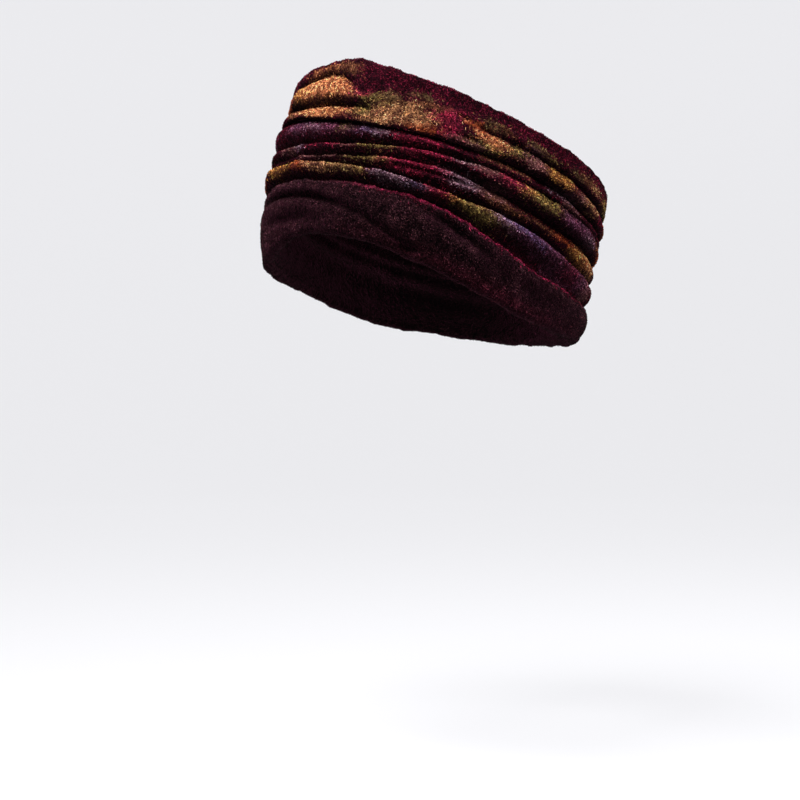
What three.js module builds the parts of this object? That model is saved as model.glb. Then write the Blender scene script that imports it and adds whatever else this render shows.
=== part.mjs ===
// Head warmer: a crownless band of wet-felted wool, worn with its lower edge turned up as a cuff.
// Units are millimetres, +Z is the wearer's vertical and the wearer faces -Y, so +X is the wearer's left.
// The origin is the centre of the opening that the head fills.
//
// The band is one closed loop of felt, so it is one solid: a closed section is worked out at each
// azimuth round the head, and the sections are joined into a ring. Heights and offsets are in the
// band's own upright frame. The whole ring is then tilted back, as it sits on a head.

import * as THREE from 'three';

// Driving sizes
const halfWidth = 112;        // middle of the oval to the widest line of the folds, ear to ear
const halfLength = 126.5;       // the same, front to back
const feltThickness = 2.6;
const tiltBack = 18;          // degrees that the band's axis leans to the back of the head
const tiltSide = 1.5;         // degrees that it leans to the wearer's left
const stations = 80;          // sections round the ring

// Folds
const grooveSharpness = 2.2;  // power of the curve from a crest down to a groove
const foldDroop = 0.22;       // how far a fold hangs over the groove under it, per mm of its depth
const crestPlace = 0.5;       // where a crest lies between two grooves
const innerFollow = 0.72;     // share of a fold's depth that shows on the inner face

// Cuff
const cuffGapTop = 0.9;       // open slit between the cuff's edge and the band behind it
const cuffGapFoot = 3.2;      // the same slit just above the turned edge
const cuffBulge = 3.5;        // how far the cuff puffs out between its two edges
const cuffEdgeLean = 1.5;     // how far the cut edge leans in to the band
const cuffDentWidth = 5.5;
const widestHeight = -12;     // height where the band is widest, above and below it leans in
const rimLeanPower = 2.2;
const footLeanPower = 1.6;
const bulgePower = 0.8;       // below 1 the cuff puffs out most above its middle

// Where a section has its points, as shares of the way along each stretch
const shares = {
  rimToFirstCrest: [0.35, 0.7],
  grooveToCrest: [0.45],
  crestToGroove: [0.62, 1],
  insideSlit: [0.12, 0.4, 0.7],
  downCuff: [0.03, 0.14, 0.26, 0.38, 0.5, 0.62, 0.74, 0.86, 1],
  roundFoot: [0.25, 0.5, 0.75, 1],
};

// The band's form by azimuth, in degrees from the middle of the forehead to the wearer's left.
// rim, cuffEdge and foot are heights; rimIn and footIn are how far the felt leans in there, and
// cuffOut is how far the cuff stands out from the folds' widest line.
const form = [
  { at: -90, rim: 37, rimIn: 5, cuffEdge: -43, foot: -73, footIn: 10, cuffOut: -2 },
  { at: -60, rim: 44, rimIn: 5, cuffEdge: -37, foot: -77, footIn: 11, cuffOut: -2 },
  { at: -40, rim: 49, rimIn: 5.5, cuffEdge: -32.5, foot: -79, footIn: 8, cuffOut: -2 },
  { at: -20, rim: 53.5, rimIn: 6, cuffEdge: -31, foot: -72, footIn: 5, cuffOut: -1.5 },
  { at: 0, rim: 56.5, rimIn: 6, cuffEdge: -31, foot: -65.5, footIn: 3, cuffOut: -1 },
  { at: 20, rim: 50, rimIn: 5, cuffEdge: -32, foot: -67.5, footIn: 2, cuffOut: -1 },
  { at: 40, rim: 43.5, rimIn: 5, cuffEdge: -35, foot: -74.5, footIn: 2, cuffOut: -1 },
  { at: 60, rim: 37, rimIn: 4, cuffEdge: -46, foot: -83, footIn: 2, cuffOut: 0 },
  { at: 80, rim: 32, rimIn: 3, cuffEdge: -55, foot: -88, footIn: 2, cuffOut: 0 },
  { at: 100, rim: 30, rimIn: 2, cuffEdge: -58, foot: -86.5, footIn: 2, cuffOut: 1 },
  { at: 120, rim: 28, rimIn: 2, cuffEdge: -56, foot: -80.5, footIn: 2, cuffOut: 1 },
  { at: 150, rim: 24, rimIn: 4, cuffEdge: -50, foot: -73, footIn: 4, cuffOut: 0 },
  { at: 180, rim: 23, rimIn: 5, cuffEdge: -46, foot: -70, footIn: 6, cuffOut: 0 },
  { at: 210, rim: 25, rimIn: 5, cuffEdge: -44, foot: -70, footIn: 8, cuffOut: 0 },
  { at: 240, rim: 31, rimIn: 5, cuffEdge: -44, foot: -75, footIn: 9, cuffOut: -1 },
];

// The grooves between the folds, from the rim down. height is the groove's line, depth is how far
// it cuts in, and swell is how far the fold above it stands out. A depth of 0 ends a groove.
const grooves = {
  abovePuff: [
    { at: -90, height: 29, depth: 0, swell: 0 },
    { at: -60, height: 36, depth: 3, swell: 0 },
    { at: -20, height: 41.5, depth: 5, swell: 0 },
    { at: -8, height: 43, depth: 4.5, swell: 0 },
    { at: 0, height: 39.5, depth: 3.5, swell: 0 },
    { at: 10, height: 31, depth: 1.5, swell: 0 },
    { at: 20, height: 33, depth: 0, swell: 0 },
    { at: 80, height: 25, depth: 0, swell: 0 },
    { at: 180, height: 17, depth: 0, swell: 0 },
    { at: 240, height: 24, depth: 0, swell: 0 },
  ],
  underPuff: [
    { at: -90, height: 19, depth: 3, swell: 1 },
    { at: -60, height: 20, depth: 5, swell: -1.5 },
    { at: -20, height: 19.5, depth: 8, swell: 2.5 },
    { at: 0, height: 20, depth: 7, swell: 3 },
    { at: 10, height: 19.5, depth: 4, swell: 2 },
    { at: 20, height: 19, depth: 0, swell: 0 },
    { at: 45, height: 20, depth: 0, swell: 0 },
    { at: 60, height: 19, depth: 3, swell: 0 },
    { at: 80, height: 15, depth: 5, swell: 0 },
    { at: 100, height: 12, depth: 5, swell: 0 },
    { at: 120, height: 10, depth: 4, swell: 0 },
    { at: 180, height: 9, depth: 1, swell: 0 },
    { at: 240, height: 14, depth: 1, swell: 0 },
  ],
  underWideFold: [
    { at: -90, height: 7, depth: 4, swell: 0 },
    { at: -60, height: 12, depth: 6, swell: 0 },
    { at: -20, height: 12.5, depth: 7, swell: 0 },
    { at: 0, height: 8.5, depth: 7.5, swell: 0 },
    { at: 20, height: 7, depth: 7, swell: 0 },
    { at: 40, height: 4.5, depth: 6, swell: 0 },
    { at: 60, height: 2.5, depth: 6, swell: 0 },
    { at: 80, height: 0, depth: 7, swell: 0 },
    { at: 100, height: -3, depth: 7, swell: 0 },
    { at: 120, height: -5, depth: 6, swell: 0 },
    { at: 180, height: -5, depth: 3, swell: 0 },
    { at: 240, height: 3, depth: 3, swell: 0 },
  ],
  underSecondFold: [
    { at: -90, height: -7, depth: 5, swell: 0 },
    { at: -60, height: -3, depth: 8, swell: 0 },
    { at: -20, height: -4.8, depth: 9, swell: 0 },
    { at: 0, height: -4.9, depth: 8, swell: 0 },
    { at: 20, height: -3, depth: 6, swell: -0.5 },
    { at: 40, height: -1, depth: 4, swell: -1 },
    { at: 60, height: -2.5, depth: 2.5, swell: -1 },
    { at: 80, height: -5.5, depth: 3, swell: -1 },
    { at: 120, height: -9.5, depth: 2, swell: 0 },
    { at: 180, height: -13, depth: 0, swell: 0 },
    { at: 240, height: -7, depth: 3, swell: 0 },
  ],
  underThirdFold: [
    { at: -90, height: -16, depth: 5, swell: 0 },
    { at: -60, height: -13.5, depth: 7, swell: 0 },
    { at: -20, height: -13.8, depth: 7, swell: 0 },
    { at: 0, height: -13, depth: 6, swell: 0 },
    { at: 20, height: -11, depth: 5, swell: -1 },
    { at: 40, height: -10.5, depth: 5, swell: -1.5 },
    { at: 60, height: -17, depth: 7, swell: 0 },
    { at: 80, height: -21, depth: 8, swell: 0 },
    { at: 120, height: -22, depth: 7, swell: 0 },
    { at: 180, height: -20, depth: 5, swell: 0 },
    { at: 240, height: -16, depth: 5, swell: 0 },
  ],
  underThinFold: [
    { at: -90, height: -24, depth: 4, swell: -1.5 },
    { at: -60, height: -19.5, depth: 3, swell: -2 },
    { at: -20, height: -17, depth: 4, swell: -2.5 },
    { at: 0, height: -17.7, depth: 5, swell: -2 },
    { at: 20, height: -19.5, depth: 6, swell: -1 },
    { at: 40, height: -25, depth: 7, swell: -0.5 },
    { at: 60, height: -28, depth: 6, swell: -1.5 },
    { at: 80, height: -31.5, depth: 6, swell: -2 },
    { at: 100, height: -32.5, depth: 6, swell: -1 },
    { at: 180, height: -29, depth: 2, swell: 0 },
    { at: 240, height: -27, depth: 2, swell: 0 },
  ],
};
const cuffSlitHeight = 2;     // the last groove lies this far above the cuff's edge
const lastFoldSwell = 0.5;

// A soft crease that crosses the cuff from the temple to the middle of the forehead.
const cuffDent = [
  { at: -60, height: -47, depth: 1 },
  { at: -20, height: -41.6, depth: 3 },
  { at: 0, height: -42, depth: 4 },
  { at: 20, height: -52, depth: 4 },
  { at: 40, height: -63, depth: 2.5 },
  { at: 60, height: -72, depth: 0 },
  { at: 120, height: -74, depth: 0 },
  { at: 240, height: -60, depth: 0 },
];

// A column of a table at an azimuth: a smooth curve through its rows that closes on itself and
// never runs past the values of two neighbouring rows.
function valueAt(table, column, azimuth) {
  const count = table.length;
  const row = (i) => table[((i % count) + count) % count];
  const angle = (i) => row(i).at + 360 * Math.floor(i / count);
  const slope = (i) => (row(i + 1)[column] - row(i)[column]) / (angle(i + 1) - angle(i));
  const tangent = (i) => {
    const before = slope(i - 1);
    const after = slope(i);
    return before * after > 0 ? (2 * before * after) / (before + after) : 0;
  };
  let i = 0;
  while (angle(i + 1) <= azimuth) {
    i += 1;
  }
  const span = angle(i + 1) - angle(i);
  const u = (azimuth - angle(i)) / span;
  return (
    (1 + 2 * u) * (1 - u) ** 2 * row(i)[column] +
    u * (1 - u) ** 2 * span * tangent(i) +
    u * u * (3 - 2 * u) * row(i + 1)[column] +
    u * u * (u - 1) * span * tangent(i + 1)
  );
}

function rowAt(table, azimuth) {
  const columns = Object.keys(table[0]).filter((column) => column !== 'at');
  return Object.fromEntries(columns.map((column) => [column, valueAt(table, column, azimuth)]));
}

// Offset of the folds' widest line from the oval at a height: the felt leans in to rim and foot.
function leanAt(height, shape) {
  const up = Math.max(0, (height - widestHeight) / (shape.rim - widestHeight));
  const down = Math.max(0, (height - widestHeight) / (shape.foot - widestHeight));
  return -shape.rimIn * up ** rimLeanPower - shape.footIn * down ** footLeanPower;
}

// The folds of one section, from the rim down. Each has the point it starts from, its crest and
// the groove under it, as points [offset, height].
function foldsAt(azimuth, shape, lastGroove) {
  const folds = [];
  let above = [leanAt(shape.rim, shape), shape.rim];
  const addFold = (groove, swell) => {
    const crestHeight = above[1] + (groove[1] - above[1]) * crestPlace;
    const crest = [leanAt(crestHeight, shape) + swell, crestHeight];
    folds.push({ above, crest, groove });
    above = groove;
  };
  for (const table of Object.values(grooves)) {
    const { height, depth, swell } = rowAt(table, azimuth);
    addFold([leanAt(height, shape) - depth, height], swell);
  }
  addFold(lastGroove, lastFoldSwell);
  return folds;
}

// Points between two points [offset, height]. ease gives how far the offset has gone at a share.
function between(from, to, stretch, ease) {
  return stretch.map((share) => [
    from[0] + (to[0] - from[0]) * ease(share),
    from[1] + (to[1] - from[1]) * share,
  ]);
}

// Folds hang: a point moves down as far as it stands out.
function hang([offset, height], shape) {
  return [offset, height - foldDroop * (offset - leanAt(height, shape))];
}

// The closed section at an azimuth: down the outer face, into the slit behind the cuff and out
// again, round the cuff's cut edge, down its face, round the turned foot and up the inner face.
function sectionAt(azimuth) {
  const shape = rowAt(form, azimuth);
  const dent = rowAt(cuffDent, azimuth);
  const half = feltThickness / 2;
  const footRadius = feltThickness + cuffGapFoot / 2;
  const footCentre = shape.foot + footRadius;

  const cuffHeight = (v) => shape.cuffEdge + (footCentre - shape.cuffEdge) * v;
  const dentAt = (height) => dent.depth * Math.exp(-(((height - dent.height) / cuffDentWidth) ** 2));
  const puff = (v) => cuffBulge * Math.sin(Math.PI * v ** bulgePower);
  const cuffFace = (v) => {
    const height = cuffHeight(v);
    const lean = leanAt(height, shape) + shape.cuffOut - cuffEdgeLean * (1 - v);
    return lean + puff(v) - dentAt(height);
  };
  const gap = (v) => cuffGapTop + puff(v) / 2 + (cuffGapFoot - cuffGapTop) * v ** 2;
  const behindCuff = (v) => cuffFace(v) - feltThickness - gap(v);

  const lastGroove = [behindCuff(0), shape.cuffEdge + cuffSlitHeight];
  const folds = foldsAt(azimuth, shape, lastGroove);

  const rimOffset = leanAt(shape.rim, shape);
  const rimEdge = [
    [rimOffset - feltThickness, shape.rim - half],
    [rimOffset - half, shape.rim],
    [rimOffset, shape.rim - half],
  ];

  const fromRim = (u) => Math.sin((u * Math.PI) / 2);
  const upFromGroove = (u) => 1 - (1 - u) ** grooveSharpness;
  const downToGroove = (u) => u ** grooveSharpness;
  const foldFace = folds.flatMap(({ above, crest, groove }, i) => [
    ...(i === 0
      ? between(above, crest, shares.rimToFirstCrest, fromRim)
      : between(above, crest, shares.grooveToCrest, upFromGroove)),
    crest,
    ...between(crest, groove, shares.crestToGroove, downToGroove),
  ]).map((point) => hang(point, shape));

  const slitDown = [...shares.insideSlit, 1];
  const slitIn = slitDown.map((v) => [behindCuff(v), cuffHeight(v)]);
  const slitFoot = [[behindCuff(1) + cuffGapFoot / 2, shape.foot + feltThickness]];
  const slitOut = slitDown.toReversed().map((v) => [cuffFace(v) - feltThickness, cuffHeight(v)]);

  const cuffEdge = [
    [cuffFace(0) - feltThickness, shape.cuffEdge - half],
    [cuffFace(0) - half, shape.cuffEdge],
  ];
  const cuffOuter = shares.downCuff.map((v) => [cuffFace(v), cuffHeight(v)]);

  const turnedFoot = shares.roundFoot.map((share) => {
    const angle = Math.PI * share;
    return [
      cuffFace(1) - footRadius + footRadius * Math.cos(angle),
      footCentre - footRadius * Math.sin(angle),
    ];
  });

  const innerBehindCuff = shares.insideSlit
    .toReversed()
    .map((v) => [behindCuff(v) - feltThickness, cuffHeight(v)]);
  const innerFolds = folds.toReversed().flatMap(({ crest, groove }) => {
    const filled = (1 - innerFollow) * Math.max(0, crest[0] - groove[0]);
    return [
      [groove[0] - feltThickness, groove[1]],
      [crest[0] - feltThickness - filled, crest[1]],
    ];
  }).map((point) => hang(point, shape));

  return [
    ...rimEdge, ...foldFace, ...slitIn, ...slitFoot, ...slitOut,
    ...cuffEdge, ...cuffOuter, ...turnedFoot, ...innerBehindCuff, ...innerFolds,
  ];
}

// Joins the sections into a closed ring round the oval, and tilts it back.
function makeBand() {
  const tilt = new THREE.Matrix4()
    .makeRotationX(THREE.MathUtils.degToRad(-tiltBack))
    .multiply(new THREE.Matrix4().makeRotationY(THREE.MathUtils.degToRad(tiltSide)));
  const positions = [];
  let sectionPoints = 0;
  for (let station = 0; station < stations; station += 1) {
    const azimuth = -90 + (360 * station) / stations;
    const turn = THREE.MathUtils.degToRad(azimuth);
    const section = sectionAt(azimuth);
    sectionPoints = section.length;
    for (const [offset, height] of section) {
      const point = new THREE.Vector3(
        (halfWidth + offset) * Math.sin(turn),
        -(halfLength + offset) * Math.cos(turn),
        height,
      ).applyMatrix4(tilt);
      positions.push(point.x, point.y, point.z);
    }
  }
  const index = [];
  for (let station = 0; station < stations; station += 1) {
    const here = station * sectionPoints;
    const next = ((station + 1) % stations) * sectionPoints;
    for (let i = 0; i < sectionPoints; i += 1) {
      const j = (i + 1) % sectionPoints;
      index.push(here + i, here + j, next + i);
      index.push(next + i, here + j, next + j);
    }
  }
  const geometry = new THREE.BufferGeometry();
  geometry.setAttribute('position', new THREE.Float32BufferAttribute(positions, 3));
  geometry.setIndex(index);
  geometry.computeVertexNormals();
  return geometry;
}

const felt = new THREE.MeshStandardMaterial({ color: 0x4a1830, roughness: 0.95, metalness: 0 });

const band = new THREE.Mesh(makeBand(), felt);
band.name = 'felt_band';

const headWarmer = new THREE.Group();
headWarmer.name = 'head_warmer';
headWarmer.add(band);

export default headWarmer;
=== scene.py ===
# %% [markdown]
# # A felted head warmer
#
# The object is one loop of wet-felted wool. It has no crown: it is worn round the head like a
# crownless hat, slouched into long soft folds, with its lower edge turned up as a cuff. The outside
# carries patches of tan, olive, rust and lavender wool on burgundy. The cuff shows the other face of
# the same felt, a dark plum.
#
# This lesson dresses the plain solid of the frame. First it works the felt out as one closed
# surface, much finer than the solid. Then it lays the coloured wool on it, gives it a fibrous
# material, and adds the curly fibres that stand on its face.

# %% Load the frame
import math

import bpy
import numpy as np
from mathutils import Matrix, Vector


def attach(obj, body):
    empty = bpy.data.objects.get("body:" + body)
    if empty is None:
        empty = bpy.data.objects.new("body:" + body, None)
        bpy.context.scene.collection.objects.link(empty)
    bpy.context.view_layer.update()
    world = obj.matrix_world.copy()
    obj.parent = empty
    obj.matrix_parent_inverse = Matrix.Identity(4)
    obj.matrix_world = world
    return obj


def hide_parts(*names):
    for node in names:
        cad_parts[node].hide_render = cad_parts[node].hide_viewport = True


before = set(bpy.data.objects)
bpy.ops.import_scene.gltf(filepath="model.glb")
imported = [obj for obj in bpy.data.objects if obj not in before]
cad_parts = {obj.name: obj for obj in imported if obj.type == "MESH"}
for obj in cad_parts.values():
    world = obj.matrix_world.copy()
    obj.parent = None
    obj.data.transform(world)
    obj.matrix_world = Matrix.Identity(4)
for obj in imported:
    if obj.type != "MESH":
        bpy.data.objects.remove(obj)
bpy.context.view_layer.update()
MM = 0.001

# %% [markdown]
# ## Tables that can be read
#
# A soft form is measured in a few places and runs smoothly between them. Each table below is typed
# as plain text: one line names the columns, and each row is one place round the head. The first
# column is the azimuth in degrees, 0 in the middle of the forehead and 90 over the wearer's left
# ear. Lists of points would hide which number is a height and which a depth.

# %% Tables by azimuth
def rows(text):
    """A table typed as text. The first line names the columns, each further line is a row."""
    lines = [line.split() for line in text.strip().splitlines()]
    values = np.array([[float(word) for word in line] for line in lines[1:]])
    return dict(zip(lines[0], values.T))


def titled(columns, text):
    """Tables typed one after the other, each under its title, with empty lines between them."""
    tables = [table.split("\n", 1) for table in text.strip().split("\n\n")]
    return {title: rows(columns + "\n" + table) for title, table in tables}


def at(table, name, azimuth):
    """A column at any azimuth: a closed cubic curve through the rows that never overshoots them.

    Its slope in a row is the harmonic mean of the slopes on both sides, or 0 at a peak."""
    turn, value = table["at"], table[name]
    turn = np.concatenate([turn[-2:] - 360, turn, turn[:2] + 360])
    value = np.concatenate([value[-2:], value, value[:2]])
    slope = np.diff(value) / np.diff(turn)
    before, after = slope[:-1], slope[1:]
    same_way = before * after > 0
    tangent = np.zeros_like(value)
    tangent[1:-1] = np.where(same_way, 2 * before * after / np.where(same_way, before + after, 1), 0)
    where = (np.asarray(azimuth, float) + 90) % 360 - 90
    i = np.clip(np.searchsorted(turn, where, side="right") - 1, 0, len(turn) - 2)
    span = turn[i + 1] - turn[i]
    u = (where - turn[i]) / span
    return (
        (1 + 2 * u) * (1 - u) ** 2 * value[i] + u * (1 - u) ** 2 * span * tangent[i]
        + u * u * (3 - 2 * u) * value[i + 1] + u * u * (u - 1) * span * tangent[i + 1]
    )


# %% [markdown]
# ## The band's form
#
# The felt follows an oval round the head. Its rim, the cut edge of the cuff and the turned foot
# each run at their own height, high over the forehead and low behind the ears. The felt leans in
# to the rim and the foot, and the cuff stands out or in beside the folds. All of this is in
# millimetres, along the band's own axis, which leans back on the head.

# %% Sizes of the band
HALF_WIDTH = 112.0      # middle of the oval to the widest line of the folds, ear to ear
HALF_LENGTH = 126.5     # the same, front to back
FELT = 2.6              # thickness of the felt
TILT_BACK = 18.0        # degrees that the axis leans to the back of the head
TILT_SIDE = 1.5         # degrees that it leans to the wearer's left
WIDEST = -12.0          # height of the widest line: the felt leans in above and below it

FORM = rows("""
 at rim rim_in cuff_edge foot foot_in cuff_out
-90   37   5   -41   -73 10   -2
-60   44   5   -33   -77 11   -2
-40   49 5.5   -29   -79  8   -2
-20 53.5   6 -29.2   -72  5 -1.5
  0 56.5   6   -30 -65.5  3   -1
 20   50   5   -32 -67.5  2   -1
 40 43.5   5   -35 -74.5  2   -1
 60   37   4   -46   -83  2    0
 80   32   3   -55   -88  2    0
100   30   2   -58 -86.5  2    1
120   28   2   -56 -80.5  2    1
150   24   4   -50   -73  4    0
180   23   5   -46   -70  6    0
210   25   5   -44   -70  8    0
240   31   5   -44   -75  9   -1
""")

# %% [markdown]
# ## The folds
#
# Between two folds lies a groove. A table for each groove, from the rim down, says how high its
# line runs, how deep it cuts in, and how far the fold above it swells out. It also gives the share
# of that fold's height where its crest lies, and how far the fold droops over the groove. A groove
# whose depth runs out to 0 lets its two folds merge, which is how real slouch folds end.

# %% Grooves between the folds
GROOVES = titled("at height depth swell crest droop", """
above_puff
-90    29   0    0  0.5    0
-60    36   3    0  0.5    0
-20    44   5    0  0.5    0
 -8    46   4    0  0.6    0
  0    42   4    0  0.6    0
 10    32   2    0  0.5    0
 20    33   0    0  0.5    0
 80    25   0    0  0.5    0
180    17   0    0  0.5    0
240    24   0    0  0.5    0

under_puff
-90    20   4    1  0.5  0.2
-60    26   6   -2 0.45  0.2
-40    25 6.5   -1 0.56  0.2
-20  22.5 5.5  3.2 0.64  0.2
  0  21.5 5.5  3.2 0.64  0.2
 10  20.5 3.5    2  0.5  0.2
 20    19   0    0  0.5    0
 45    20   0    0  0.5    0
 60    19   3    0  0.5  0.2
 80    15   6    0  0.6  0.3
100    12   6    0  0.6  0.3
120    10   5    0  0.5  0.2
180     9   1    0  0.5    0
240    14   1    0  0.5    0

under_wide_fold
-90     9   5    0  0.6  0.3
-60    16   7 -2.5  0.7  0.5
-40    16   8   -1  0.7  0.6
-20  12.8   9  1.8  0.7  0.6
  0   8.5  10  1.5  0.7  0.6
 20     7   9    1  0.8  0.6
 40   4.5   8  0.5  0.7  0.5
 60   2.5   8  0.5  0.6  0.5
 80     0   9    1  0.5  0.5
100    -3   9    1  0.5  0.5
120    -5   7    0  0.5  0.3
180    -5   4    0  0.5  0.2
240     3   4    0  0.5  0.2

under_second_fold
-90    -7   6    0  0.4    0
-60  -1.5   9    0 0.35 -0.2
-40  -2.5  11    0 0.33 -0.3
-20  -4.2  12    0 0.32 -0.3
  0  -4.7  12 -0.5 0.32 -0.3
 20    -3  10 -1.5 0.32 -0.3
 40    -1   7   -1 0.35 -0.2
 60  -2.5   5 -1.5  0.5  0.2
 80  -5.5   6   -2  0.5  0.3
120  -9.5   3   -1  0.5  0.2
180   -13   0    0  0.5    0
240    -7   4    0  0.5    0

under_third_fold
-90   -16   5    0  0.3    0
-60   -11   8    0  0.3 -0.2
-40   -11   9    0  0.3 -0.3
-20 -12.4   9    0  0.3 -0.3
  0 -12.4   9    0  0.3 -0.3
 20   -11   7 -0.5  0.3 -0.3
 40 -10.5   6   -1  0.4    0
 60 -17.5   9  0.5  0.5  0.3
 80   -22  10    1  0.5  0.4
100 -23.5  10    1  0.5  0.4
120   -24   9    0  0.5  0.3
180   -20   6    0  0.5  0.2
240   -16   6    0  0.5  0.2

under_thin_fold
-90   -24   4 -1.5  0.4    0
-60   -16   4   -2  0.3    0
-40 -14.8   5 -2.4  0.3 -0.1
-20 -15.6   6 -2.5  0.3 -0.2
  0   -17   7   -2  0.3 -0.2
 20 -19.5   8   -1  0.3 -0.2
 40   -25   8 -0.5  0.3 -0.2
 60   -28   8   -2  0.4    0
 80 -31.5   8   -3  0.4    0
100 -36.5   8   -2  0.4    0
120   -38   7   -1  0.4    0
180   -29   3    0  0.5    0
240   -27   3    0  0.5    0
""")

# %% [markdown]
# Small creases run across the big folds and the cuff. Each has a table under its name and its width,
# and is a dent along a line that fades out where its depth reaches 0. The creases also darken the
# felt's colour, as painted shade that deepens with the dent.

# %% Small creases
CREASES = titled("at height depth", """
split_of_thin_fold 1.2
 20 -15.5   0
 30 -15.5 2.6
 44 -16.5 3.0
 55   -18 1.8
 66   -21   0

split_of_third_fold 1.5
 26  -5.5   0
 36  -6.5 1.4
 48    -9 2.2
 57   -12 1.6
 68   -16   0

small_wrinkles 1.1
 40    28   0
 44    26 1.6
 49    23 0.4
 53    21 1.6
 58    18   0

wrinkle_on_fold 1.2
 36    15   0
 42    14 1.3
 50    11 1.6
 60     9   0

crease_under_wide_fold 1.5
 55   6.5   0
 66   5.8 1.6
 84   3.2 1.8
100   0.5 1.2
118    -3   0

hollow_over_edge 5.5
 58   -39   0
 70   -44 2.4
 80   -48 3.2
 90   -50 2.8
100   -51 1.4
110   -50   0

back_wrinkle 2.2
130     3   0
160     0 2.2
190     1 1.8
215     6   0
""")
CUFF_CREASES = titled("at height depth", """
front_hollow 2.8
-62   -46   0
-45   -41 1.4
-32 -39.8 3.8
-21 -39.4 6.4
 -7 -40.8 6.2
  3 -43.6 5.0
  9 -46.3 3.6
 15 -49.5 2.4
 22 -54.5 2.2
 30   -62 2.4
 37 -68.5 1.6
 42   -71   0

low_hollow 4.0
-35   -58   0
-20   -56 2.8
 -6 -55.5 2.6
  8   -59   0

dark_spot 3.6
 31 -68.5   0
 37 -68.5 3.4
 43   -69   0

hollow_under_edge 4.0
 30   -38   0
 40 -42.5 2.6
 51   -50 3.6
 58   -56 2.4
 68   -64   0

side_hollow 9.0
 56   -58   0
 70   -65 1.4
 88   -70 1.8
102   -70 0.8
112   -68   0

back_dent 5.0
110   -66   0
150   -60 1.4
190   -58 1.6
230   -60   0
""")


def dents(creases, azimuth, height):
    """How far the creases press the felt in at a height: a bell curve across each crease's line."""
    pressed = 0
    for title, table in creases.items():
        width = float(title.split()[1])
        inside = (azimuth >= table["at"][0]) & (azimuth <= table["at"][-1])
        across = (height - at(table, "height", azimuth)) / width
        pressed = pressed + np.where(inside, at(table, "depth", azimuth), 0) * np.exp(-(across**2))
    return pressed


# %% [markdown]
# ## The closed section
#
# A section through the felt at one azimuth is a closed line: over the rim, down the folds, into the
# slit behind the cuff and out again, over the cut edge, down the cuff, round the foot and up the
# inside. It is worked out for all azimuths at once, as arrays with a row for each azimuth and a
# column for each point. Next to its offset from the oval and its height, each point keeps a place
# on the felt: a number that counts the folds from the rim down, which the colours use later.

# %% Constants of the section
UPPER_ROUNDNESS = 2.6           # power of the curve from a groove out to the crest below it
LOWER_ROUNDNESS = 1.9           # power of the curve from a crest in to the groove below it
LAST_CREST, LAST_SWELL = 0.32, 1.2      # crest and swell of the last fold, over the cuff
SLIT_ABOVE_EDGE = 2.0           # it ends this far over the cut edge of the cuff
INNER_FOLLOW = 0.72             # share of a fold's depth that shows inside
GAP_TOP, GAP_FOOT = 0.9, 3.2    # width of the slit behind the cuff at its mouth and at the foot
BULGE, EDGE_LEAN = 3.5, 1.5     # the cuff bulges out, and its cut edge leans in
BULGE_SKEW = 0.8                # under 1, it bulges out most a little above its middle
LEAN_UP, LEAN_DOWN = 2.2, 1.6   # powers with which the felt leans in to the rim and to the foot
RIPPLES = {"rim": (3, 0.75), "cuff_edge": (5, 0.7), "foot": (8, 0.5)}   # seed and size of each
WAVES = np.array([9, 17, 31, 53, 89])   # waves round the ring that make up a ripple
WAVE_FADE = 0.35                # power with which shorter waves are lower
FOOT_RADIUS = FELT + GAP_FOOT / 2
RIM, FOLDS, SLIT, EDGE, CUFF, FOOT, INSIDE = range(7)   # parts of the section
SLIT_PLACE, CUFF_PLACE, FOOT_PLACE, INSIDE_PLACE = 8, 9, 10, 11     # the folds count from 0 to 7
FINE = 1.0


def count(points):
    """Number of points on a stretch, scaled by FINE."""
    return max(2, round(points * FINE))


def row(start, end, points):
    """Evenly spaced values from start to end as one row, the same at every azimuth."""
    return np.linspace(start, end, count(points))[None, :]


def lean(height, form):
    """Offset of the widest line at a height: powers of the share of the way to rim and foot."""
    up = np.maximum(0, (height - WIDEST) / (form["rim"] - WIDEST))
    down = np.maximum(0, (height - WIDEST) / (form["foot"] - WIDEST))
    return -form["rim_in"] * up**LEAN_UP - form["foot_in"] * down**LEAN_DOWN


def ripple(azimuth, seed, size):
    """A small closed wave round the ring: sines of a few whole numbers of waves, with set phases."""
    height = size / WAVES**WAVE_FADE
    phase = np.random.default_rng(seed).uniform(0, 2 * np.pi, len(WAVES))
    turn = np.radians(azimuth)[..., None]
    return (np.sin(turn * WAVES + phase) * height).sum(-1)


# %% Folds of the section
def fold_corners(az, form, end):
    """For each fold from the rim down: the groove above it, its crest and the groove below it.

    Each is an offset and a height. A groove adds how far the fold above droops over it, and a
    crest adds the share of the fold's height at which it lies."""
    above, folds = (lean(form["rim"], form), form["rim"], 0.0), []
    for table in [*GROOVES.values(), None]:
        if table is None:
            groove, swell, share = end, LAST_SWELL, LAST_CREST
        else:
            height, depth = at(table, "height", az), np.maximum(at(table, "depth", az), 0)
            groove = (lean(height, form) - depth, height, depth * at(table, "droop", az))
            swell, share = at(table, "swell", az), at(table, "crest", az)
        crest_height = above[1] + (groove[1] - above[1]) * share
        folds.append((above, (lean(crest_height, form) + swell, crest_height, share), groove))
        above = groove
    return folds


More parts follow.
